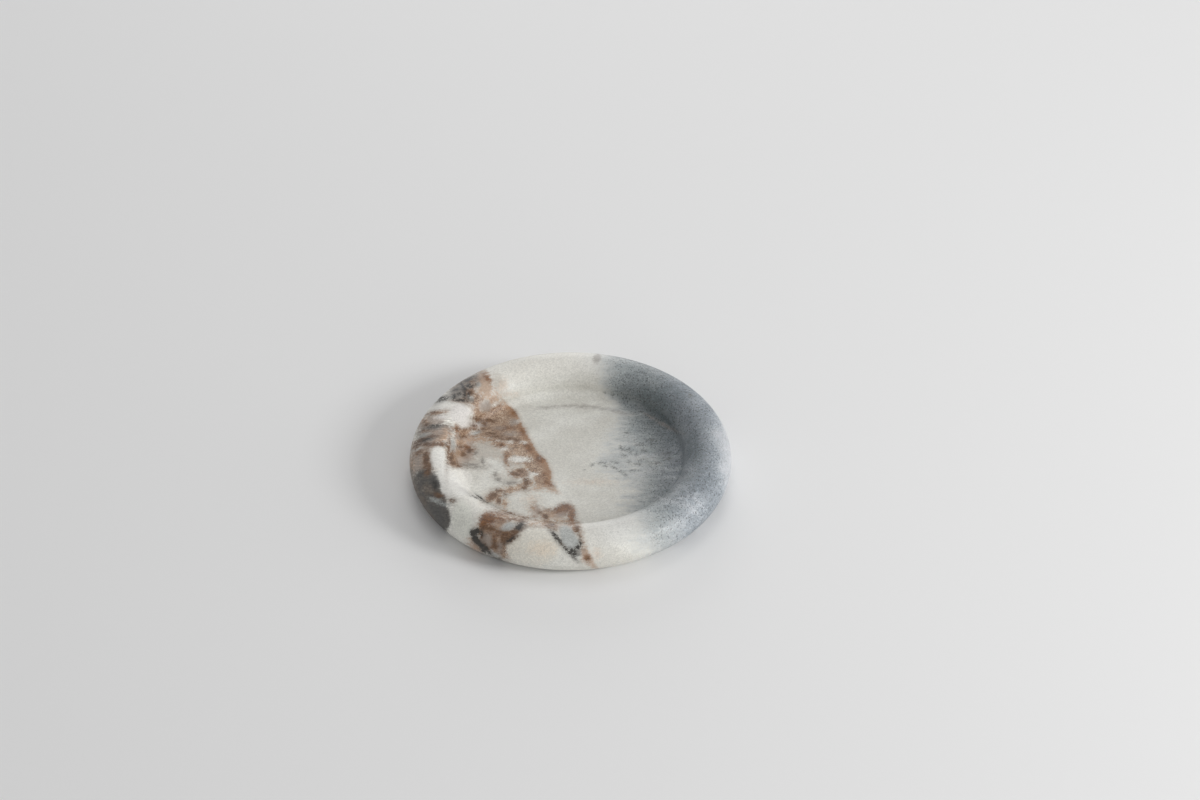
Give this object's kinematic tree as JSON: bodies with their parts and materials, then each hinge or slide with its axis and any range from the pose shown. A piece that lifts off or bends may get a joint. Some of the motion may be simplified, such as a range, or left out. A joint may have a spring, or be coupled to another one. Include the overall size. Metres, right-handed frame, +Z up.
{
  "type": "stone tray",
  "caption": "Small round stone tray: a full rolled rim goes round a flat shallow well, and felt pads set in the underside keep it off the table. For keys, jewellery or soap.",
  "frame": {"origin": "on the surface that the tray stands on, under its centre", "axes": "+Z up, along the axis that the body was turned on; the picture looks along +Y, with +X to its right"},
  "size_m": [0.16, 0.16, 0.0204],
  "materials": {
    "stone": "honed natural marble: warm white, rust-brown and slate-grey figure, fine grain",
    "felt": "dense grey wool felt",
    "adhesive": "thin acrylic adhesive film"
  },
  "bodies": {
    "root": {"stone_body": "stone", "felt_pad_1": "felt", "felt_pad_2": "felt", "felt_pad_3": "felt", "felt_pad_4": "felt", "adhesive_disc_1": "adhesive", "adhesive_disc_2": "adhesive", "adhesive_disc_3": "adhesive", "adhesive_disc_4": "adhesive"}
  },
  "joints": []
}
